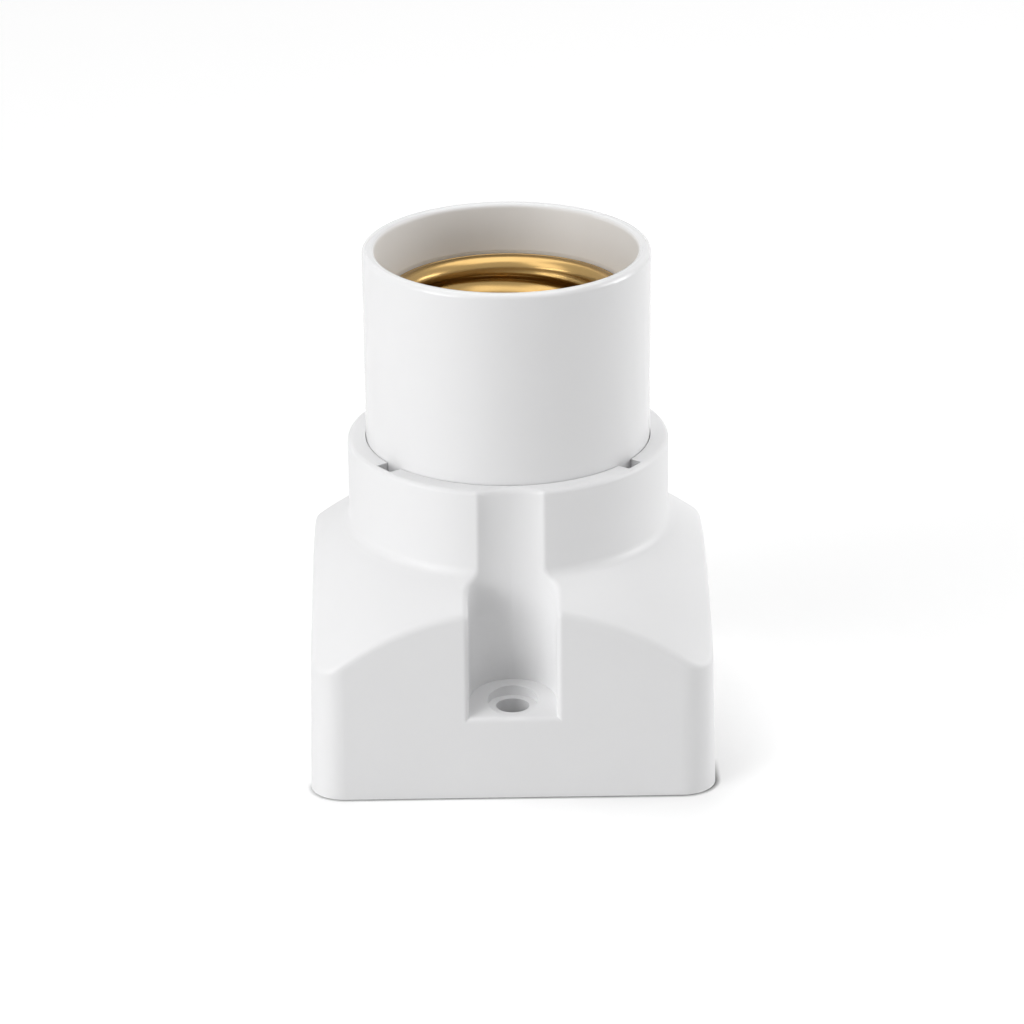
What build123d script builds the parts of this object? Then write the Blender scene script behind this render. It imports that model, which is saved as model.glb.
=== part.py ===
"""Batten lamp holder for an E27 lamp, in millimetres.

The origin is the middle of the square foot where it meets the mounting surface. +Z points out of the
mouth and the screw channels are on the -Y and +Y sides.
"""
import math
import os

from build123d import *

# Base housing, outside
foot_ledge = 5.0
foot_corner = 4.3
side_draft = 1.15
shoulder_height = 27.4
crown_margin = 0.65
crown_drop = 14.3
crown_radius = 44.0
crown_round = 1.3
collar_wall = 2.2
collar_height = 38.4
collar_foot_round = 1.5
collar_top_round = 0.6

# Base housing, inside
base_wall = 2.0
ring_thickness = 3.282
ring_opening = 14.0
gusset_thickness = 1.2
gusset_height = 14.0
gusset_spread = 12.0

# Screw channels and fixing holes
hole_inset = 4.0
hole_diameter = 4.1
seat_diameter = 6.2
seat_height = 10.6
floor_rise = 11.3
floor_thickness = 2.4
channel_width = 10.7
channel_depth = 2.6
channel_wall = 1.5
collar_web = 0.92
seat_lip = 0.05
pocket_top = 29.0
pocket_undercut = 2.2
pocket_depth = 4.6
pocket_steps = 3
pillar_radius = 4.0
mouth_round = 0.7

# Barrel
overall_height = 62.9
barrel_radius = 17.8
barrel_draft = 0.28
barrel_wall = 1.6
rim_wall = 1.45
rim_round = 0.62
mouth_depth = 6.4
ledge_thickness = 1.6
rib_count = 4
rib_thickness = 1.2
rib_reach = 14.3
barrel_clearance = 0.1

# Snap hooks of the barrel and the grooves they enter by
hook_angles = (37.0, 143.0, 217.0, 323.0)
hook_width = 4.0
hook_slot = 0.8
hook_slot_height = 7.0
barb_width = 1.7
barb_depth = 1.15
barb_height = 1.7
barb_face = 0.57
groove_width = 1.9
groove_depth = 1.22
groove_height = 8.4
notch_width = 2.7
notch_depth = 1.55
notch_height = 1.5

# Screw shell
sheet = 0.35
thread_major = 13.3
thread_minor = 12.2
flange_radius = 15.0
bead_radius = 0.35
bend_round = 0.9
plain_foot = 5.5
shell_floor_opening = 7.6

# Contact carrier
disc_thickness = 3.0
disc_clearance = 0.15
spigot_clearance = 0.15
spigot_depth = 4.0
island_radius = 7.2
island_height = 1.6
tower_gap = 7.2
tower_width = 13.0
tower_depth = 10.6
tower_wall = 1.0
carrier_top = 3.0
core_margin = 0.6
wall_clearance = 0.1

# Contacts, strips and rivets
strip_thickness = 0.4
strip_width = 3.4
tongue_root = 6.8
tongue_bend = 2.9
tongue_rise = 2.0
tongue_tip = 2.6
button_radius = 1.8
button_height = 0.8
button_round = 0.7
button_stem = 0.8
rivet_radius = 1.0
rivet_head = 1.6
rivet_head_height = 0.7
rivet_head_round = 0.5
rivet_upset = 1.4
rivet_upset_bevel = 0.3
centre_rivet_place = 4.6
shell_rivet_place = 9.4

# Terminals
block_length = 6.4
block_width = 9.0
block_height = 8.0
block_bevel = 0.4
block_place = 7.9
wire_hole = 2.8
stub_radius = 1.2
stub_height = 1.2
screw_radius = 1.44
screw_clearance = 0.06
screw_travel = 2.8
screw_head = 2.7
screw_head_height = 1.8
screw_head_round = 0.45
screw_point = 0.35
screw_slot = 0.7
screw_slot_depth = 0.9

# Places worked out from the sizes above
collar_radius = barrel_radius + collar_wall
foot_width = 2 * (collar_radius + foot_ledge)
crown_reach = foot_width * math.sqrt(2) / 2 + crown_margin
collar_bore = barrel_radius - (overall_height - collar_height) * math.tan(math.radians(barrel_draft))
collar_bore += barrel_clearance
crown_slope = math.atan2(crown_drop, crown_reach - collar_radius)
ring_bottom = shoulder_height - base_wall / math.cos(crown_slope)
ring_top = ring_bottom + ring_thickness
channel_back = collar_bore + collar_web
hole_place = foot_width / 2 - hole_inset
seat_front = hole_place + seat_diameter / 2
floor_slope = math.tan(math.radians(floor_rise))
pocket_back = channel_back - pocket_undercut
pocket_floor = seat_height + floor_slope * (seat_front - pocket_back)
flange_level = overall_height - mouth_depth
thread_radius = (thread_major + thread_minor) / 2
ledge_bore = thread_major + sheet + bend_round + barrel_clearance
disc_bottom = ring_top
disc_top = disc_bottom + disc_thickness
island_top = disc_top + island_height
spigot_bottom = disc_bottom - spigot_depth
tower_bottom = spigot_bottom - tower_depth
tongue_top = island_top + strip_thickness + tongue_rise
strip_bottom = spigot_bottom - strip_thickness
block_bottom = strip_bottom - block_height
wire_height = strip_bottom - block_height / 2
far = 2 * foot_width


def barrel_outside(height):
    """Outer radius of the barrel at a height."""
    return barrel_radius - (overall_height - height) * math.tan(math.radians(barrel_draft))


def crown_profile(inset):
    """Half section under the crowned top, moved inwards by a wall."""
    drop = inset / math.cos(crown_slope)
    start = (collar_radius, shoulder_height - drop)
    end = (crown_reach, shoulder_height - crown_drop - drop)
    crown = RadiusArc(start, end, crown_radius)
    rest = Polyline(end, (crown_reach, 0), (0, 0), (0, start[1]), start)
    return make_face(crown.edges() + rest.edges())


def square_prism(inset, height):
    """Drafted square with rounded corners, moved inwards by a wall."""
    width = foot_width - 2 * inset
    outline = RectangleRounded(width, width, foot_corner - inset)
    return extrude(outline, amount=height, taper=side_draft)


def revolved(face):
    """Full turn of a half section drawn with X as the radius and Y as the height."""
    return revolve(Plane.XZ * face, Axis.Z)


def ring(outer, inner, bottom, top):
    """Plain tube between two heights."""
    tube = Circle(outer) - Circle(inner)
    return extrude(Pos(0, 0, bottom) * tube, amount=top - bottom)


def base_outside():
    """The foot, its crowned top and the collar as one solid body, edges rounded."""
    crown = revolved(crown_profile(0))
    body = square_prism(0, collar_height) & crown
    body = body + upright(collar_radius, shoulder_height / 2, collar_height)
    upper = body.edges().filter_by(lambda edge: edge.center().Z > shoulder_height - crown_drop)
    crown_edges = upper.filter_by(lambda edge: edge.center(CenterOf.BOUNDING_BOX).Z < shoulder_height - 1)
    crown_edges = crown_edges.filter_by(lambda edge: edge.length > foot_corner)
    body = fillet(crown_edges.filter_by(GeomType.LINE, reverse=True), crown_round)
    foot_circle = body.edges().filter_by(GeomType.CIRCLE).filter_by_position(
        Axis.Z, shoulder_height - 0.05, shoulder_height + 0.05
    )
    body = fillet(foot_circle, collar_foot_round)
    return fillet(body.edges().group_by(Axis.Z)[-1], collar_top_round)


def trough_plan(wall, lean):
    """Plan of a channel, open towards -Y: its half-oval back moves in and deepens with the lean."""
    half = channel_width / 2 + wall
    depth = channel_depth + (pocket_depth - channel_depth) * lean + wall
    back = channel_back - pocket_undercut * lean - wall
    centre = -(back + depth)
    rounded = Ellipse(half, depth) & Pos(0, far / 2) * Rectangle(far, far)
    return Pos(0, centre) * rounded + Pos(0, (centre - far) / 2) * Rectangle(2 * half, far + centre)


def below_floor(drop):
    """Everything under the channel's sloping floor, lowered by a thickness."""
    block = Box(far, far, far, align=(Align.CENTER, Align.CENTER, Align.MAX))
    return Pos(0, -seat_front, seat_height - drop) * Rot(X=floor_rise) * block


def channel_form(wall, drop):
    """The space of the front channel, or with a wall and a drop the body that surrounds it."""
    start = seat_height - drop - floor_thickness
    span = pocket_top - pocket_floor
    steps = [(pocket_top - start) / span * step / pocket_steps for step in range(pocket_steps + 1)]
    plans = [Pos(0, 0, pocket_top - span * step) * trough_plan(wall, step**2) for step in reversed(steps)]
    pocket = loft(plans)
    upper = extrude(Pos(0, 0, pocket_top) * trough_plan(wall, 0), amount=collar_height + 1 - pocket_top)
    return upper + pocket - below_floor(drop)


def both_ends(part):
    """The part and its twin half a turn away."""
    return part + Rot(Z=180) * part


def upright(radius, bottom, top):
    """A plain cylinder on the Z axis between two heights."""
    return extrude(Pos(0, 0, bottom) * Circle(radius), amount=top - bottom)


def radial_block(width, inner, outer, bottom, top):
    """A straight block that runs outwards along +X."""
    return Pos((inner + outer) / 2, 0, (bottom + top) / 2) * Box(outer - inner, width, top - bottom)


def hook_entry():
    """Groove in the collar's bore that a barb slides down, with a wider notch at the top."""
    inner = collar_bore - 1
    over = collar_height + 1
    low = collar_height - groove_height
    groove = radial_block(groove_width, inner, collar_bore + groove_depth, low, over)
    low = collar_height - notch_height
    return groove + radial_block(notch_width, inner, collar_bore + notch_depth, low, over)


def base_housing():
    """One moulding: foot, crowned top, collar, two channels, seat ring and fixing pillars."""
    hollow = square_prism(base_wall, ring_bottom) & revolved(crown_profile(base_wall))
    body = base_outside() - hollow
    body = body + (both_ends(channel_form(channel_wall, floor_thickness)) & hollow) + gussets(hollow)
    pillar = Pos(0, -hole_place) * upright(pillar_radius, 0, seat_height)
    body = body + both_ends(pillar & square_prism(0, collar_height))
    body = body - upright(ring_opening, ring_bottom - 1, ring_top + 1)
    body = body - upright(collar_bore, ring_top, collar_height + 1)
    inside = barrel_outside(ring_top) - barrel_wall - barrel_clearance
    window = ring(collar_bore + barrel_clearance, inside, ring_bottom - 1, ring_top)
    window_width = hook_width + 4 * barrel_clearance
    window = window & radial_block(window_width, ring_opening, collar_radius, ring_bottom - 1, ring_top)
    for angle in hook_angles:
        body = body - Rot(Z=angle) * window - Rot(Z=angle) * hook_entry()
    seat = Pos(0, -hole_place) * upright(seat_diameter / 2, seat_height, seat_height + floor_thickness)
    hole = Pos(0, -hole_place) * upright(hole_diameter / 2, -1, seat_height + 1)
    body = body - both_ends(channel_form(0, -seat_lip))
    body = body - both_ends(seat) - both_ends(hole)
    return fillet(body.edges().filter_by(on_channel_mouth), mouth_round)


def on_channel_mouth(edge):
    """True for the edges where a channel meets the outside of the base."""
    place = edge.center()
    half = channel_width / 2
    beside = abs(place.X) < half + seat_lip and abs(place.Y) > channel_back - seat_lip
    front = abs(place.Y) > foot_width / 2 - channel_wall and place.Z > seat_height - channel_wall
    high = place.Z > shoulder_height - crown_drop / 2 and abs(place.X) > half / 3
    return beside and (front or high or place.Z > collar_height - seat_lip)


def gussets(room):
    """Thin webs under the crowned top, two on each side without a channel."""
    side = foot_width / 2
    start = (ring_opening + collar_bore) / 2
    outline = Polyline((side, gusset_height), (side, far), (start, far), (start, ring_bottom), close=True)
    slab = extrude(Plane.XZ * make_face(outline), amount=gusset_thickness / 2, both=True)
    pair = Pos(0, gusset_spread / 2) * slab + Pos(0, -gusset_spread / 2) * slab
    return both_ends(pair) & room


def barrel():
    foot = ring_top + barrel_clearance / 2
    foot_outside = barrel_outside(foot)
    inside = foot_outside - barrel_wall
    mouth = barrel_radius - rim_wall
    seat = flange_radius + 2 * barrel_clearance
    outline = Polyline(
        (inside, foot),
        (foot_outside, foot),
        (barrel_radius, overall_height),
        (mouth, overall_height),
        (seat, flange_level + 2 * bead_radius),
        (seat, flange_level),
        (ledge_bore, flange_level),
        (ledge_bore, flange_level - ledge_thickness),
        (inside, flange_level - ledge_thickness - (inside - ledge_bore) / 2),
        close=True,
    )
    body = revolved(make_face(outline))
    body = fillet(body.edges().group_by(Axis.Z)[-1], rim_round)
    rib_top = flange_level - ledge_thickness / 2
    rib_foot = disc_top + barrel_clearance / 2
    rib = radial_block(rib_thickness, rib_reach, inside + barrel_wall / 2, rib_foot, rib_top)
    for index in range(rib_count):
        body = body + Rot(Z=360 * index / rib_count) * rib
    slot_top = foot + hook_slot_height
    slot = radial_block(hook_width + 2 * hook_slot, inside - 1, collar_radius, foot - 1, slot_top)
    slot = slot - radial_block(hook_width, inside - 1, collar_radius, foot - 1, slot_top)
    for angle in hook_angles:
        body = body - Rot(Z=angle) * slot + Rot(Z=angle) * snap_hook(inside, foot)
    return body


def snap_hook(inside, foot):
    """The end of a spring arm below the barrel's foot, with the barb that catches under the collar."""
    catch = ring_bottom - barrel_clearance / 2
    end = catch - barb_height
    outside = barrel_outside(foot)
    arm = radial_block(hook_width, inside / 2, collar_radius, end, foot) & ring(outside, inside, end, foot)
    root = outside - barrel_wall / 2
    tip = outside + barb_depth
    outline = Polyline(
        (root, catch), (tip, catch), (tip, catch - barb_face), (outside, end), (root, end), close=True
    )
    barb = extrude(Plane.XZ * make_face(outline), amount=barb_width / 2, both=True)
    return arm + barb


def screw_shell():
    """Brass sheet drawn to a cup, wider above its plain foot, where the wall lies midway in the thread."""
    floor_line = disc_top + sheet / 2
    foot_line = thread_minor + sheet / 2
    wall_line = thread_radius + sheet / 2
    thread_foot = disc_top + plain_foot
    flange_line = flange_level + sheet / 2
    bead_place = flange_radius - bead_radius
    centre_line = FilletPolyline(
        (shell_floor_opening, floor_line),
        (foot_line, floor_line),
        (foot_line, thread_foot),
        (wall_line, thread_foot + 2 * (wall_line - foot_line)),
        (wall_line, flange_line),
        (bead_place, flange_line),
        radius=bend_round,
    )
    shell = revolved(trace(centre_line, line_width=sheet))
    shell = shell + revolved(Pos(bead_place, flange_level + bead_radius) * Circle(bead_radius))
    rivet_hole = upright(rivet_radius, disc_bottom, disc_top + bend_round)
    for side in (-1, 1):
        shell = shell - Pos(0, side * shell_rivet_place) * rivet_hole
    return shell


def contact_carrier():
    """Insulating moulding: clamped disc, locating spigot, raised island and two terminal towers."""
    inside = barrel_outside(ring_top) - barrel_wall
    body = upright(inside - disc_clearance, disc_bottom, disc_top)
    notch = inside - barb_depth - disc_clearance
    room = radial_block(hook_width + 2 * hook_slot, notch, collar_radius, disc_bottom - 1, disc_top + 1)
    for angle in hook_angles:
        body = body - Rot(Z=angle) * room
    spigot = ring_opening - spigot_clearance
    body = body + upright(spigot, spigot_bottom, disc_bottom) + upright(island_radius, disc_top, island_top)
    towers = Pos(0, 0, tower_bottom) * Box(
        2 * spigot, tower_width, tower_depth, align=(Align.CENTER, Align.CENTER, Align.MIN)
    )
    gap = Pos(0, 0, tower_bottom) * Box(
        tower_gap, tower_width, tower_depth, align=(Align.CENTER, Align.CENTER, Align.MIN)
    )
    reach = block_place + block_length / 2 + tower_wall + wall_clearance
    towers = towers & upright(spigot, tower_bottom, spigot_bottom) & Box(2 * reach, far, far)
    body = body + (towers - gap)
    rivet_hole = upright(rivet_radius, spigot_bottom - 1, island_top + 1)
    for side in (-1, 1):
        body = body - Pos(side * block_place, 0) * terminal_room()
        body = body - Pos(0, side * shell_rivet_place) * rivet_hole
    body = body - Pos(0, centre_rivet_place) * rivet_hole
    passage = Pos(tower_gap / 2, centre_rivet_place, spigot_bottom) * Box(
        2 * tower_wall + 1, strip_width + 2 * wall_clearance, strip_thickness + wall_clearance,
        align=(Align.CENTER, Align.CENTER, Align.MAX)
    )
    return body - passage - carrier_core()


def carrier_core():
    """Recess between the towers that keeps the carrier's walls even."""
    front = rivet_head + core_margin - shell_rivet_place
    back = centre_rivet_place - rivet_head - core_margin
    width = tower_gap - 2 * core_margin
    plan = Pos(0, (front + back) / 2, spigot_bottom) * RectangleRounded(width, back - front, core_margin)
    return extrude(plan, amount=island_top - carrier_top - spigot_bottom)


def terminal_room():
    """Space for a terminal block in its tower, open downwards and at both ends for the wire."""
    block = Box(
        block_length + 2 * wall_clearance, tower_width + 2, tower_depth + 1,
        align=(Align.CENTER, Align.CENTER, Align.MAX)
    )
    stub = upright(stub_radius, spigot_bottom - 1, spigot_bottom + stub_height)
    return Pos(0, 0, spigot_bottom) * block + stub


def contact_tongue():
    """Spring strip: a flat root under the rivet, then a slope up to the free end."""
    root_line = island_top + strip_thickness / 2
    free_line = tongue_top - strip_thickness / 2
    centre_line = FilletPolyline(
        (tongue_root, root_line),
        (tongue_bend, root_line),
        (button_stem + 2 * strip_thickness, free_line),
        (-button_radius, free_line),
        (-tongue_tip, free_line - strip_thickness),
        radius=strip_thickness,
    )
    side = Plane.YZ * trace(centre_line, line_width=strip_thickness)
    strip = extrude(side, amount=strip_width / 2, both=True)
    strip = strip - Pos(0, centre_rivet_place) * upright(rivet_radius, island_top - 1, tongue_top + 1)
    return strip - upright(button_stem, island_top - 1, tongue_top + 1)


def contact_button():
    """Domed contact stud with its stem clenched through the tongue."""
    dome = Pos(0, 0, tongue_top) * upright(button_radius, 0, button_height)
    dome = fillet(dome.edges().group_by(Axis.Z)[-1], button_round)
    under = tongue_top - strip_thickness
    stem = upright(button_stem, under, tongue_top)
    clench = upright(button_stem + strip_thickness / 2, under - strip_thickness, under)
    return dome + stem + clench


def rivet(place, low, high):
    """Solid rivet with a domed head above a height and a flat upset head below another."""
    head = upright(rivet_head, high, high + rivet_head_height)
    head = fillet(head.edges().group_by(Axis.Z)[-1], rivet_head_round)
    upset = upright(rivet_upset, low - rivet_head_height, low)
    upset = chamfer(upset.edges().group_by(Axis.Z)[0], rivet_upset_bevel)
    return Pos(*place) * (head + upright(rivet_radius, low, high) + upset)


def terminal_strip(rivet_place, side):
    """Brass strip, bent round in plan, from a rivet to the terminal on one side."""
    across = side * block_place
    past_stub = -math.copysign(strip_width / 2, rivet_place)
    start = (-side * rivet_head, rivet_place)
    path = FilletPolyline(start, (across, rivet_place), (across, past_stub), radius=strip_width / 2)
    strip = extrude(Pos(0, 0, strip_bottom) * trace(path, line_width=strip_width), amount=strip_thickness)
    strip = strip & upright(ring_opening - spigot_clearance, strip_bottom - 1, spigot_bottom + 1)
    for place, radius in (((0, rivet_place), rivet_radius), ((across, 0), stub_radius)):
        strip = strip - Pos(*place) * upright(radius, strip_bottom - 1, spigot_bottom + 1)
    return strip


def terminal(side):
    """Brass terminal block: cross hole for the wire, screw hole from below, riveting stub on top."""
    block = Pos(0, 0, block_bottom) * Box(
        block_length, block_width, block_height, align=(Align.CENTER, Align.CENTER, Align.MIN)
    )
    block = chamfer(block.edges().group_by(Axis.Z)[0], block_bevel)
    block = block + upright(stub_radius, strip_bottom, spigot_bottom + stub_height)
    cross = Pos(0, 0, wire_height) * Rot(X=90) * Cylinder(wire_hole / 2, block_width + 2)
    drilled = wire_height + wire_hole / 2 + screw_point
    block = block - cross - upright(screw_radius + screw_clearance, block_bottom - 1, drilled)
    return Pos(side * block_place) * block


def terminal_screw(side):
    """Slotted cheese-head screw, drawn at its open position below the wire."""
    tip = wire_height - wire_hole / 2 - screw_clearance
    head_top = block_bottom - screw_travel - screw_clearance
    head_bottom = head_top - screw_head_height
    head = upright(screw_head, head_bottom, head_top)
    head = fillet(head.edges().group_by(Axis.Z)[0], screw_head_round)
    slot = Pos(0, 0, head_bottom) * Box(
        2 * screw_head + 1, screw_slot, screw_slot_depth, align=(Align.CENTER, Align.CENTER, Align.MIN)
    )
    shank = upright(screw_radius, head_top, tip)
    shank = chamfer(shank.edges().group_by(Axis.Z)[-1], screw_point)
    return Pos(side * block_place) * (head + shank - slot)


def write(node, part):
    export_step(part, "parts/" + node + ".step")


os.makedirs("parts", exist_ok=True)
write("base_housing", base_housing())
write("barrel", barrel())
write("screw_shell", screw_shell())
write("contact_carrier", contact_carrier())
write("contact_tongue", contact_tongue())
write("contact_button", contact_button())
write("centre_rivet", rivet((0, centre_rivet_place), strip_bottom, island_top + strip_thickness))
write("front_shell_rivet", rivet((0, -shell_rivet_place), strip_bottom, disc_top + sheet))
write("rear_shell_rivet", rivet((0, shell_rivet_place), spigot_bottom, disc_top + sheet))
write("live_strip", terminal_strip(centre_rivet_place, 1))
write("neutral_strip", terminal_strip(-shell_rivet_place, -1))
write("live_terminal", terminal(1))
write("neutral_terminal", terminal(-1))
write("live_terminal_screw", terminal_screw(1))
write("neutral_terminal_screw", terminal_screw(-1))
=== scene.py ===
"""Looks of the batten lamp holder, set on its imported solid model. All lengths are in metres."""
import math

import bmesh
import bpy
from mathutils import Matrix, Vector


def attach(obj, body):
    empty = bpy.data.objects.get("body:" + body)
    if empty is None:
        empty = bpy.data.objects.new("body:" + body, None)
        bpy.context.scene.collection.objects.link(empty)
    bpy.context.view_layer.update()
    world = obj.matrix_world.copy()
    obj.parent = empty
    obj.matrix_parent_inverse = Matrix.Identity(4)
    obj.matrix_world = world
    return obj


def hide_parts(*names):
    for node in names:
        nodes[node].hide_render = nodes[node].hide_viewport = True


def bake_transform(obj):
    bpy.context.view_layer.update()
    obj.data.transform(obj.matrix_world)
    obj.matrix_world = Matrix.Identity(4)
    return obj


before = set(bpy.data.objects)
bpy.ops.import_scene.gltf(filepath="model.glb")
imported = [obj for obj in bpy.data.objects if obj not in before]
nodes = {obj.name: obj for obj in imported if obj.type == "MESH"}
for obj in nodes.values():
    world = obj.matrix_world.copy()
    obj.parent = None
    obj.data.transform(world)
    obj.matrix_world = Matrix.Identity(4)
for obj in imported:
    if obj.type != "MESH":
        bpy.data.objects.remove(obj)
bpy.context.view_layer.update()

# The camera stands a little above the holder, level with its left side, and looks down on the front
# channel. It is a long lens, so the foot's sides stay nearly upright in the picture.
view_azimuth = math.radians(-0.802)
view_elevation = math.radians(22.334)
view_roll = math.radians(-0.521)
view_distance = 0.6091
aim_height = 0.02967
shift_right, shift_up = 0.000417, -0.001855
focal_length, sensor_width = 170.76, 36.0

back = Vector(
    (
        math.sin(view_azimuth) * math.cos(view_elevation),
        -math.cos(view_azimuth) * math.cos(view_elevation),
        math.sin(view_elevation),
    )
)
level = Vector((math.cos(view_azimuth), math.sin(view_azimuth), 0))
upward = back.cross(level)
right_axis = math.cos(view_roll) * level + math.sin(view_roll) * upward
up_axis = -math.sin(view_roll) * level + math.cos(view_roll) * upward
lens = bpy.data.cameras.new("camera")
lens.lens, lens.sensor_width = focal_length, sensor_width
lens.clip_start, lens.clip_end = 0.01, 20
camera = bpy.data.objects.new("camera", lens)
turn = Matrix((right_axis, up_axis, back)).transposed().to_4x4()
stand = Vector((0, 0, aim_height)) + back * view_distance + shift_right * level + shift_up * upward
camera.matrix_world = Matrix.Translation(stand) @ turn
bpy.context.scene.collection.objects.link(camera)
bpy.context.scene.camera = camera
bpy.context.scene.view_settings.view_transform = "Standard"


# Studio: a sweep of white paper, soft boxes low on the left and right, a broad one overhead and two
# weaker ones high in front and behind. The paper carries a painted shadow: a dark line along the
# foot's front where it meets the paper, and a soft painted shade off the foot's right front. It is
# clear from beneath and glows in the foot's hollow, so that the underside can be looked at.
lamp_distance, lamp_size, top_lamp_size = 0.9, 0.5, 0.9
white, black = (1, 1, 1, 1), (0, 0, 0, 1)
wall_light = 0.03
paper_width, paper_colour, paper_glow = 4.0, (0.80, 0.80, 0.80, 1), 0.34
contact_shadow_reach, contact_shadow_strength = 0.0008, 2.6
contact_shadow_side, contact_shadow_start, contact_shadow_full = (0.1, -1.0, 0), 0.017, 0.0235
shade_reach, shade_strength = 0.013, 0.42
shade_side, shade_start, shade_full = (1.0, -0.7, 0), 0.012, 0.044
shade_samples = 12
hollow_half, hollow_corner, hollow_light = (0.0246, 0.0246, 1.0), 0.0476, 0.6
fixing_place, fixing_clear = (0, 0.021, 0), 0.0026
vectors = "ShaderNodeVectorMath"


def add(tree, kind, settings=None, **inputs):
    """A node with its settings, its inputs given as values or as sockets to link from."""
    node = tree.nodes.new(kind)
    for name, value in (settings or {}).items():
        setattr(node, name, value)
    for name, value in inputs.items():
        known = [socket for socket in node.inputs if socket.enabled]
        if name[0] == "i" and name[1:].isdigit():
            socket = node.inputs[int(name[1:])]
        else:
            socket = next(socket for socket in known if socket.name == name.replace("_", " "))
        if isinstance(value, bpy.types.NodeSocket):
            tree.links.new(value, socket)
        else:
            socket.default_value = value
    return node


def calc(tree, operation, *values, kind="ShaderNodeMath"):
    """One step of arithmetic with numbers, or with vectors if so asked, as a socket."""
    inputs = {f"i{place}": value for place, value in enumerate(values)}
    node = add(tree, kind, {"operation": operation}, **inputs)
    return next(socket for socket in node.outputs if socket.enabled)


def soft_lamp(name, direction, power, size=lamp_size):
    """A square soft box that points at the middle of the holder."""
    data = bpy.data.lights.new(name, "AREA")
    data.size, data.energy = size, power
    lamp = bpy.data.objects.new(name, data)
    away = Vector(direction).normalized()
    lamp.location = Vector((0, 0, aim_height)) + away * lamp_distance
    lamp.rotation_euler = away.to_track_quat("Z", "Y").to_euler()
    bpy.context.scene.collection.objects.link(lamp)


def rays_that_see_white(tree):
    """A mask of the rays that show a white backdrop: from the camera, off gloss, through glass."""
    rays = add(tree, "ShaderNodeLightPath").outputs
    seen = calc(tree, "MAXIMUM", rays["Is Camera Ray"], rays["Is Transmission Ray"])
    return calc(tree, "MAXIMUM", seen, rays["Is Glossy Ray"])


def shade_by(tree, place, side, start, full, reach, strength):
    """Painted shadow on the paper: how far it is dimmed within reach of the foot, more towards one
    side of it.
    """
    openness = add(tree, "ShaderNodeAmbientOcclusion", {"samples": shade_samples}, Distance=reach)
    along = calc(tree, "DOT_PRODUCT", place, side, kind=vectors)
    amount = add(tree, "ShaderNodeMapRange", i0=along, i1=start, i2=full, i3=0, i4=strength)
    return calc(tree, "POWER", openness.outputs["AO"], amount.outputs[0])


soft_lamp("left_lamp", direction=(-0.80, -0.60, 0.12), power=5.5)
soft_lamp("right_lamp", direction=(1.0, 0.08, 0.20), power=4.8)
soft_lamp("front_lamp", direction=(-0.62, -0.50, 0.78), power=1.45)
soft_lamp("back_lamp", direction=(-0.1, 0.7, 0.8), power=1.3)
soft_lamp("top_lamp", direction=(0.05, 0, 1.0), power=4.8, size=top_lamp_size)

world = bpy.data.worlds.new("studio")
bpy.context.scene.world = world
world.use_nodes = True
tree = world.node_tree
tree.nodes.clear()
walls = add(tree, "ShaderNodeBackground", Color=white, Strength=wall_light)
sheet = add(tree, "ShaderNodeBackground", Color=white, Strength=1)
backdrop = add(tree, "ShaderNodeMixShader", i0=rays_that_see_white(tree), i1=walls.outputs[0],
               i2=sheet.outputs[0])
add(tree, "ShaderNodeOutputWorld", Surface=backdrop.outputs[0])

paper = bpy.data.materials.new("white_paper")
paper.use_nodes = True
tree = paper.node_tree
tree.nodes.clear()
place = add(tree, "ShaderNodeTexCoord").outputs["Object"]
# Painted shadow: a dark line along the foot's front and a soft painted shade off its right front,
# dimming both the paper's colour and its glow.
line = shade_by(tree, place, contact_shadow_side, contact_shadow_start, contact_shadow_full, contact_shadow_reach,
                contact_shadow_strength)
shade = shade_by(tree, place, shade_side, shade_start, shade_full, shade_reach, shade_strength)
painted_floor_shadow = calc(tree, "MULTIPLY", line, shade)
tone = add(tree, "ShaderNodeMix", {"data_type": "RGBA"}, i0=painted_floor_shadow, i6=black, i7=paper_colour)
lit = add(tree, "ShaderNodeBsdfDiffuse", Color=tone.outputs[2])
glow = calc(tree, "MULTIPLY", painted_floor_shadow, paper_glow)
glow = add(tree, "ShaderNodeEmission", Color=white, Strength=glow)
lit = add(tree, "ShaderNodeAddShader", i0=lit.outputs[0], i1=glow.outputs[0])
apart = calc(tree, "ABSOLUTE", place, kind=vectors)
room = calc(tree, "SUBTRACT", hollow_half, apart, kind=vectors)
room = add(tree, "ShaderNodeSeparateXYZ", Vector=room).outputs
corner = calc(tree, "DOT_PRODUCT", apart, (1, 1, 0), kind=vectors)
bore = calc(tree, "DISTANCE", apart, fixing_place, kind=vectors)
under = calc(tree, "MINIMUM", room["X"], room["Y"])
under = calc(tree, "MINIMUM", under, calc(tree, "SUBTRACT", hollow_corner, corner))
under = calc(tree, "MINIMUM", under, calc(tree, "SUBTRACT", bore, fixing_clear))
under = calc(tree, "MULTIPLY", calc(tree, "GREATER_THAN", under, 0), hollow_light)
lift = add(tree, "ShaderNodeEmission", Color=white, Strength=under)
matt = add(tree, "ShaderNodeBsdfDiffuse", Color=paper_colour)
matt = add(tree, "ShaderNodeAddShader", i0=matt.outputs[0], i1=lift.outputs[0])
front = add(tree, "ShaderNodeMixShader", i0=rays_that_see_white(tree), i1=matt.outputs[0],
            i2=lit.outputs[0])
beneath = add(tree, "ShaderNodeNewGeometry").outputs["Backfacing"]
clear = add(tree, "ShaderNodeBsdfTransparent")
sheet = add(tree, "ShaderNodeMixShader", i0=beneath, i1=front.outputs[0], i2=clear.outputs[0])
add(tree, "ShaderNodeOutputMaterial", Surface=sheet.outputs[0])
ground = bpy.data.meshes.new("paper_sweep")
half = paper_width / 2
corners = [(-half, -half, 0), (half, -half, 0), (half, half, 0), (-half, half, 0)]
ground.from_pydata(corners, [], [(0, 1, 2, 3)])
floor = bpy.data.objects.new("paper_sweep", ground)
floor.data.materials.append(paper)
bpy.context.scene.collection.objects.link(floor)


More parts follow.
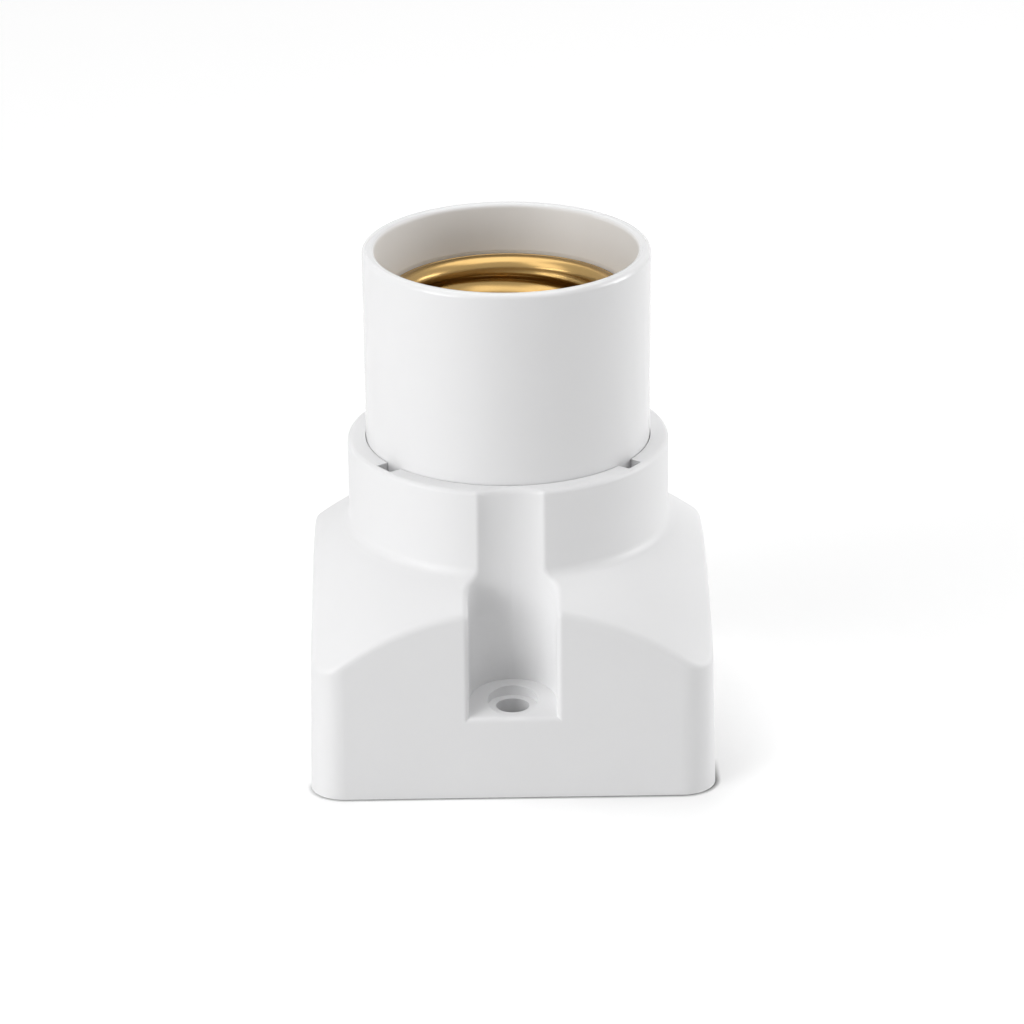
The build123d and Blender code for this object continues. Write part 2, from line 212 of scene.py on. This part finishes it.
# Base housing: one injection moulding in white satin thermoplastic, taken from a spark-eroded
# tool, so its skin has a very fine even grain and only a soft shine. A screw down each of its two
# channels fixes it to the ceiling.
housing_white, housing_shade = (0.86, 0.86, 0.865, 1), (0.83, 0.83, 0.835, 1)
plastic_index = 1.5
cloud_scale, relief_height = 90.0, 0.00005


def new_group(name, inputs, outputs):
    """An empty shader group with named sockets, and its two end nodes."""
    group = bpy.data.node_groups.new(name, "ShaderNodeTree")
    for way, sockets in (("INPUT", inputs), ("OUTPUT", outputs)):
        for label, kind in sockets.items():
            group.interface.new_socket(name=label, in_out=way, socket_type="NodeSocket" + kind)
    first, last = group.nodes.new("NodeGroupInput"), group.nodes.new("NodeGroupOutput")
    return group, first.outputs, last.inputs


def noise(group, place, scale, detail):
    """Even noise over the piece, as a socket."""
    return add(group, "ShaderNodeTexNoise", Vector=place, Scale=scale, Detail=detail).outputs[0]


def mix(group, share, first, second):
    """A colour between two others, as a socket."""
    mixed = add(group, "ShaderNodeMix", {"data_type": "RGBA"}, i0=share, i6=first, i7=second)
    return mixed.outputs[2]


def give(group, put, **results):
    """Joins the results of a group to its output sockets."""
    for name, socket in results.items():
        group.links.new(socket, put[name])


skin_results = {"Colour": "Color", "Roughness": "Float", "Height": "Float"}
moulded_skin, given, put = new_group(
    "moulded_skin",
    {"Place": "Vector", "Colour": "Color", "Shade": "Color", "Roughness": "Float",
     "Spread": "Float", "Grain": "Float"},
    skin_results,
)
cloud = noise(moulded_skin, given["Place"], scale=cloud_scale, detail=3.0)
give(moulded_skin, put, Colour=mix(moulded_skin, cloud, given["Colour"], given["Shade"]),
     Roughness=calc(moulded_skin, "MULTIPLY_ADD", cloud, given["Spread"], given["Roughness"]),
     Height=noise(moulded_skin, given["Place"], scale=given["Grain"], detail=4.0))


def finish(name, group, values, depth, **surface):
    """A material: the group's colour, roughness and fine relief on one shader."""
    material = bpy.data.materials.new(name)
    material.use_nodes = True
    tree = material.node_tree
    tree.nodes.clear()
    place = add(tree, "ShaderNodeTexCoord").outputs["Object"]
    skin = add(tree, "ShaderNodeGroup", {"node_tree": group}, Place=place, **values)
    relief = add(tree, "ShaderNodeBump", Strength=depth, Distance=relief_height,
                 Height=skin.outputs["Height"])
    shader = add(tree, "ShaderNodeBsdfPrincipled", Base_Color=skin.outputs["Colour"],
                 Roughness=skin.outputs["Roughness"], Normal=relief.outputs[0], **surface)
    add(tree, "ShaderNodeOutputMaterial", Surface=shader.outputs[0])
    return material


def dress(mesh, material):
    """Gives a mesh its one finish."""
    mesh.materials.clear()
    mesh.materials.append(material)


satin = finish(
    "satin_white_plastic", moulded_skin,
    {"Colour": housing_white, "Shade": housing_shade, "Roughness": 0.42, "Spread": 0.06,
     "Grain": 5200.0},
    depth=0.012, IOR=plastic_index,
)
dress(nodes["base_housing"].data, satin)


# Contact carrier: compression-moulded from heat-proof resin in a warmer, duller white. It sits in
# the housing's seat ring, and every metal part is fixed to it.
carrier_white, carrier_shade = (0.78, 0.76, 0.71, 1), (0.72, 0.70, 0.64, 1)
dull = finish(
    "dull_cream_resin", moulded_skin,
    {"Colour": carrier_white, "Shade": carrier_shade, "Roughness": 0.55, "Spread": 0.12,
     "Grain": 2600.0},
    depth=0.05, IOR=plastic_index,
)
dress(nodes["contact_carrier"].data, dull)


# Terminal blocks, strips and rivets: brass bar and strip, sawn, stamped and clenched together, and
# left bright. The blocks drop into the carrier's towers.
tarnish_scale = 160.0
brass_colour, brass_tarnish = (0.82, 0.55, 0.23, 1), (0.62, 0.37, 0.12, 1)
worked_metal, given, put = new_group(
    "worked_metal",
    {"Place": "Vector", "Colour": "Color", "Tarnish": "Color", "Amount": "Float",
     "Roughness": "Float", "Spread": "Float", "Lines": "Float"},
    skin_results,
)
patch = noise(worked_metal, given["Place"], scale=tarnish_scale, detail=4.0)
dulled = calc(worked_metal, "MULTIPLY", patch, given["Amount"])
give(worked_metal, put, Colour=mix(worked_metal, dulled, given["Colour"], given["Tarnish"]),
     Roughness=calc(worked_metal, "MULTIPLY_ADD", patch, given["Spread"], given["Roughness"]),
     Height=noise(worked_metal, given["Place"], scale=given["Lines"], detail=3.0))

stamped = finish(
    "stamped_brass", worked_metal,
    {"Colour": brass_colour, "Tarnish": brass_tarnish, "Amount": 0.5, "Roughness": 0.24,
     "Spread": 0.12, "Lines": 2400.0},
    depth=0.08, Metallic=1.0,
)
for name in ("live_terminal", "neutral_terminal", "live_strip", "neutral_strip", "centre_rivet",
             "front_shell_rivet", "rear_shell_rivet", "contact_button"):
    dress(nodes[name].data, stamped)


# Centre contact: a strip of spring bronze, riveted down at its root and cranked up to its free end,
# which gives when a lamp's tip presses its button.
tongue_width, tongue_thickness = 0.0034, 0.0004
bend_round, longest_cut, edge_round, edge_steps = 0.0006, 0.45, 0.45 * tongue_thickness, 3
island_level, free_level = 0.0326, 0.0350
tongue_root, tongue_bend, tongue_tip = 0.0068, 0.0029, -0.0026
free_start, free_end, free_line = 0.0016, -0.0018, free_level - tongue_thickness
tongue_line = (
    (tongue_root, island_level), (tongue_bend, island_level), (free_start, free_line),
    (free_end, free_line), (tongue_tip, free_line - tongue_thickness),
)
bronze_colour, bronze_tarnish = (0.80, 0.55, 0.28, 1), (0.55, 0.32, 0.14, 1)


def object_from(name, mesh, material, body):
    """A finished piece at the origin that rides on a body."""
    piece = bpy.data.objects.new(name, mesh)
    bpy.context.scene.collection.objects.link(piece)
    dress(mesh, material)
    if body:
        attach(piece, body)
    return piece


def rounded_path(corners, radius, steps=6):
    """Points along a bent line, each inner corner swept round with an even arc."""
    points = [Vector(corners[0])]
    for before, here, after in zip(corners, corners[1:], corners[2:]):
        here = Vector(here)
        inward = (Vector(before) - here).normalized()
        outward = (Vector(after) - here).normalized()
        half_angle = inward.angle(outward) / 2
        cut = min(radius / math.tan(half_angle), longest_cut * (Vector(after) - here).length)
        first, last = here + inward * cut, here + outward * cut
        for step in range(steps + 1):
            share = step / steps
            points.append(first.lerp(here, share).lerp(here.lerp(last, share), share))
    return points + [Vector(corners[-1])]


path = rounded_path(tongue_line, bend_round)
strip = bmesh.new()
rows = []
for index, point in enumerate(path):
    ahead = path[min(index + 1, len(path) - 1)] - path[max(index - 1, 0)]
    across = Vector((-ahead.y, ahead.x)).normalized() * tongue_thickness
    across = across if across.y > 0 else -across
    row = []
    for side, lift in ((-1, 0), (1, 0), (1, 1), (-1, 1)):
        spot = point + across * lift
        row.append(strip.verts.new((side * tongue_width / 2, spot.x, spot.y)))
    rows.append(row)
for first, second in zip(rows, rows[1:]):
    for corner in range(4):
        nearby = (corner + 1) % 4
        strip.faces.new((first[corner], first[nearby], second[nearby], second[corner]))
strip.faces.new(rows[0])
strip.faces.new(list(reversed(rows[-1])))
bmesh.ops.recalc_face_normals(strip, faces=strip.faces)
ends = [edge for edge in strip.edges if all(len(vert.link_faces) == 3 for vert in edge.verts)]
bmesh.ops.bevel(strip, geom=ends, offset=edge_round, segments=edge_steps, affect="EDGES")
tongue_mesh = bpy.data.meshes.new("spring_tongue")
strip.to_mesh(tongue_mesh)
strip.free()
bronze = finish(
    "spring_bronze", worked_metal,
    {"Colour": bronze_colour, "Tarnish": bronze_tarnish, "Amount": 0.5, "Roughness": 0.22,
     "Spread": 0.12, "Lines": 2400.0},
    depth=0.08, Metallic=1.0,
)
tongue = object_from("spring_tongue", tongue_mesh, bronze, None)
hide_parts("contact_tongue")
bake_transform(tongue)


# Screw shell: thin brass sheet drawn to a cup, its wall rolled into a deep round thread, its mouth
# turned out to a rounded flange that rests on the barrel's ledge.
# The shell's brass is painted about half as bright as the stamped brass: painted shade, standing in
# for the shade inside the barrel and its dark reflections.
rolled_colour_painted_shade, rolled_tarnish_painted_shade = (0.40, 0.265, 0.105, 1), (0.29, 0.17, 0.05, 1)
shell_sheet = 0.00035
groove_radius, crest_radius = 0.0133, 0.0122
thread_pitch, thread_turns, run_out_turn = 0.003629, 5.0, 0.3
thread_phase = math.radians(230)
flange_edge, flange_level, edge_radius = 0.0150, 0.0565, shell_sheet / 2
neck_radius, neck_round, cup_round = 0.0129, 0.0013, 0.0010
cup_floor, cup_opening = 0.0310, 0.0076
thread_top = flange_level - neck_round
thread_start = thread_top - thread_turns * thread_pitch
turn_rows, shell_segments, weld = 20, 200, 1e-6


def wall_radius(height):
    """Radius of the level circle that makes the rolled wall, plain at both ends of the thread."""
    turn = (height - thread_start) / thread_pitch
    share = max(0, min(1, turn / run_out_turn, (thread_turns - turn) / run_out_turn))
    plain = crest_radius if turn < thread_turns / 2 else neck_radius
    return plain + ((groove_radius + crest_radius) / 2 - plain) * share


def arc(centre, radius, start, end, steps=8):
    """Points round part of a circle in the half section, angles in degrees."""
    turns = [math.radians(start + (end - start) * step / steps) for step in range(steps + 1)]
    return [(centre[0] + radius * math.cos(t), centre[1] + radius * math.sin(t)) for t in turns]


def rolled_wall(extra):
    """Half section of the thread from its foot to its top, moved outwards by the sheet."""
    count = int(thread_turns * turn_rows)
    heights = [thread_start + thread_turns * thread_pitch * row / count for row in range(count + 1)]
    return [(wall_radius(height) + extra, height) for height in heights]


neck_centre = (neck_radius + shell_sheet + neck_round, thread_top)
edge_centre = (flange_edge - edge_radius, flange_level + edge_radius)
floor_centre = (crest_radius + shell_sheet - cup_round, cup_floor + cup_round)
inner_side = [(cup_opening, cup_floor + shell_sheet)]
inner_side += arc(floor_centre, cup_round - shell_sheet, -90, 0) + rolled_wall(0)
inner_side += arc(neck_centre, neck_round + shell_sheet, 180, 90)[1:]
outer_side = [(cup_opening, cup_floor)] + arc(floor_centre, cup_round, -90, 0)
outer_side += rolled_wall(shell_sheet) + arc(neck_centre, neck_round, 180, 90)[1:]
section = inner_side + arc(edge_centre, edge_radius, 150, -90, steps=12) + outer_side[::-1]


def new_tree(name, sockets):
    """An empty geometry tree that changes a mesh, with named sizes, and its two end nodes."""
    tree = bpy.data.node_groups.new(name, "GeometryNodeTree")
    tree.interface.new_socket(name="Geometry", in_out="INPUT", socket_type="NodeSocketGeometry")
    for label, kind in sockets.items():
        tree.interface.new_socket(name=label, in_out="INPUT", socket_type="NodeSocket" + kind)
    tree.interface.new_socket(name="Geometry", in_out="OUTPUT", socket_type="NodeSocketGeometry")
    return tree, tree.nodes.new("NodeGroupInput").outputs, tree.nodes.new("NodeGroupOutput").inputs


spun, given, put = new_tree(
    "spun_and_rolled",
    {"Segments": "Int", "Thread Start": "Float", "Pitch": "Float", "Turns": "Float",
     "Depth": "Float", "Phase": "Float", "Run Out": "Float", "Finish": "Material"},
)
rows = add(spun, "GeometryNodeAttributeDomainSize", {"component": "MESH"},
           Geometry=given["Geometry"]).outputs[0]
columns = calc(spun, "ADD", given["Segments"], 1)
grid = add(spun, "GeometryNodeMeshGrid", Vertices_X=columns, Vertices_Y=rows).outputs[0]
index = add(spun, "GeometryNodeInputIndex").outputs[0]
row = calc(spun, "FLOORED_MODULO", index, rows)
column = calc(spun, "FLOOR", calc(spun, "DIVIDE", index, rows))
angle = calc(spun, "MULTIPLY", calc(spun, "DIVIDE", column, given["Segments"]), 2 * math.pi)
spot = add(spun, "GeometryNodeInputPosition").outputs[0]
drawn = add(spun, "GeometryNodeSampleIndex", {"data_type": "FLOAT_VECTOR", "domain": "POINT"},
            Geometry=given["Geometry"], Value=spot, Index=row)
half_section = add(spun, "ShaderNodeSeparateXYZ", Vector=drawn.outputs[0]).outputs
climb = calc(spun, "SUBTRACT", half_section["Z"], given["Thread Start"])
turn = calc(spun, "DIVIDE", climb, given["Pitch"])
run_out = calc(spun, "MINIMUM", turn, calc(spun, "SUBTRACT", given["Turns"], turn))
fade = calc(spun, "MINIMUM", calc(spun, "DIVIDE", run_out, given["Run Out"]), 1)
fade = calc(spun, "MAXIMUM", fade, 0)
swing = calc(spun, "MULTIPLY", calc(spun, "DIVIDE", given["Depth"], 2), fade)
winding = calc(spun, "MULTIPLY_ADD", turn, 2 * math.pi, given["Phase"])
sides = []
for part in ("COSINE", "SINE"):
    aside = calc(spun, "MULTIPLY", swing, calc(spun, part, winding))
    sides.append(calc(spun, "MULTIPLY_ADD", half_section["X"], calc(spun, part, angle), aside))
place = add(spun, "ShaderNodeCombineXYZ", X=sides[0], Y=sides[1], Z=half_section["Z"]).outputs[0]
placed = add(spun, "GeometryNodeSetPosition", Geometry=grid, Position=place).outputs[0]
closed = add(spun, "GeometryNodeMergeByDistance", Geometry=placed, Distance=weld).outputs[0]
smooth = add(spun, "GeometryNodeSetShadeSmooth", Geometry=closed).outputs[0]
real = add(spun, "GeometryNodeRealizeInstances", Geometry=smooth).outputs[0]
done = add(spun, "GeometryNodeSetMaterial", Geometry=real, Material=given["Finish"]).outputs[0]
spun.links.new(done, put["Geometry"])


def grow(tree, mesh, **sizes):
    """The plain mesh that a tree makes of a drawn mesh with the given sizes."""
    source = bpy.data.objects.new(mesh.name + "_drawn", mesh)
    bpy.context.scene.collection.objects.link(source)
    modifier = source.modifiers.new("grow", "NODES")
    modifier.node_group = tree
    for item in tree.interface.items_tree:
        if item.in_out == "INPUT" and item.name.replace(" ", "_") in sizes:
            modifier[item.identifier] = sizes[item.name.replace(" ", "_")]
    bpy.context.view_layer.update()
    evaluated = source.evaluated_get(bpy.context.evaluated_depsgraph_get())
    grown = bpy.data.meshes.new_from_object(evaluated)
    bpy.data.objects.remove(source)
    return grown


# Painted shade: this brass takes the darkened colours above.
rolled_brass_painted_shade = finish(
    "bright_rolled_brass", worked_metal,
    {"Colour": rolled_colour_painted_shade, "Tarnish": rolled_tarnish_painted_shade, "Amount": 0.35, "Roughness": 0.21,
     "Spread": 0.10, "Lines": 1800.0},
    depth=0.05, Metallic=1.0,
)
shell_line = bpy.data.meshes.new("screw_shell_section")
ring = section + section[:1]
drawn_points = [(radius, 0, height) for radius, height in ring]
shell_line.from_pydata(drawn_points, [(k, k + 1) for k in range(len(section))], [])
shell_mesh = grow(
    spun, shell_line, Segments=shell_segments, Thread_Start=thread_start, Pitch=thread_pitch,
    Turns=thread_turns, Depth=groove_radius - crest_radius, Phase=thread_phase,
    Run_Out=run_out_turn, Finish=rolled_brass_painted_shade,
)
shell = object_from("rolled_screw_shell", shell_mesh, rolled_brass_painted_shade, "holder")
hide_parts("screw_shell")


# Terminal screws: turned from steel, slotted and zinc plated. Each one runs in the threaded hole of
# its terminal block and clamps the wire there.
zinc_colour, zinc_dull = (0.66, 0.68, 0.70, 1), (0.52, 0.53, 0.54, 1)
plated = finish(
    "zinc_plated_steel", worked_metal,
    {"Colour": zinc_colour, "Tarnish": zinc_dull, "Amount": 0.6, "Roughness": 0.26,
     "Spread": 0.12, "Lines": 3200.0},
    depth=0.06, Metallic=1.0,
)
for name in ("live_terminal_screw", "neutral_terminal_screw"):
    dress(nodes[name].data, plated)


# Barrel: the lamp's skirt, moulded in the same white but from a polished tool, so it shines more,
# and snapped into the housing's collar. Inside, where the tool's core was left rough, the wall is
# duller. There it is also painted darker and a little warmer: painted shade, with painted warm
# light reflected from the brass shell.
rough_and_painted_shade_radius, rough_and_painted_shade_edge = 0.0165, 0.0003
inner_white_painted_shade, inner_mottle_painted_shade = (0.82, 0.805, 0.785, 1), (0.78, 0.765, 0.74, 1)
cored_skin, given, put = new_group(
    "cored_skin",
    {"Place": "Vector", "Colour": "Color", "Shade": "Color", "Core Colour": "Color",
     "Core Shade": "Color", "Core Radius": "Float", "Core Edge": "Float", "Roughness": "Float",
     "Core Roughness": "Float", "Spread": "Float", "Grain": "Float"},
    skin_results,
)
# Inside this radius the wall is rougher, and its colour is painted darker and warmer: painted shade
# and painted warm light from the brass.
level_place = calc(cored_skin, "MULTIPLY", given["Place"], (1, 1, 0), kind=vectors)
reach = calc(cored_skin, "LENGTH", level_place, kind=vectors)
past = calc(cored_skin, "SUBTRACT", given["Core Radius"], reach)
inner = add(cored_skin, "ShaderNodeMath", {"operation": "DIVIDE", "use_clamp": True}, i0=past,
            i1=given["Core Edge"]).outputs[0]
roughness = add(cored_skin, "ShaderNodeMix", {"data_type": "FLOAT"}, i0=inner,
                i2=given["Roughness"], i3=given["Core Roughness"])
moulded = add(cored_skin, "ShaderNodeGroup", {"node_tree": moulded_skin}, Place=given["Place"],
              Colour=mix(cored_skin, inner, given["Colour"], given["Core Colour"]),
              Shade=mix(cored_skin, inner, given["Shade"], given["Core Shade"]),
              Roughness=roughness.outputs[0], Spread=given["Spread"], Grain=given["Grain"])
give(cored_skin, put, **{name: moulded.outputs[name] for name in skin_results})

glossy = finish(
    "glossy_white_plastic", cored_skin,
    {"Colour": housing_white, "Shade": housing_shade, "Core Colour": inner_white_painted_shade,
     "Core Shade": inner_mottle_painted_shade, "Core Radius": rough_and_painted_shade_radius, "Core Edge": rough_and_painted_shade_edge,
     "Roughness": 0.2, "Core Roughness": 0.5, "Spread": 0.06, "Grain": 3000.0},
    depth=0.006, IOR=plastic_index,
)
dress(nodes["barrel"].data, glossy)
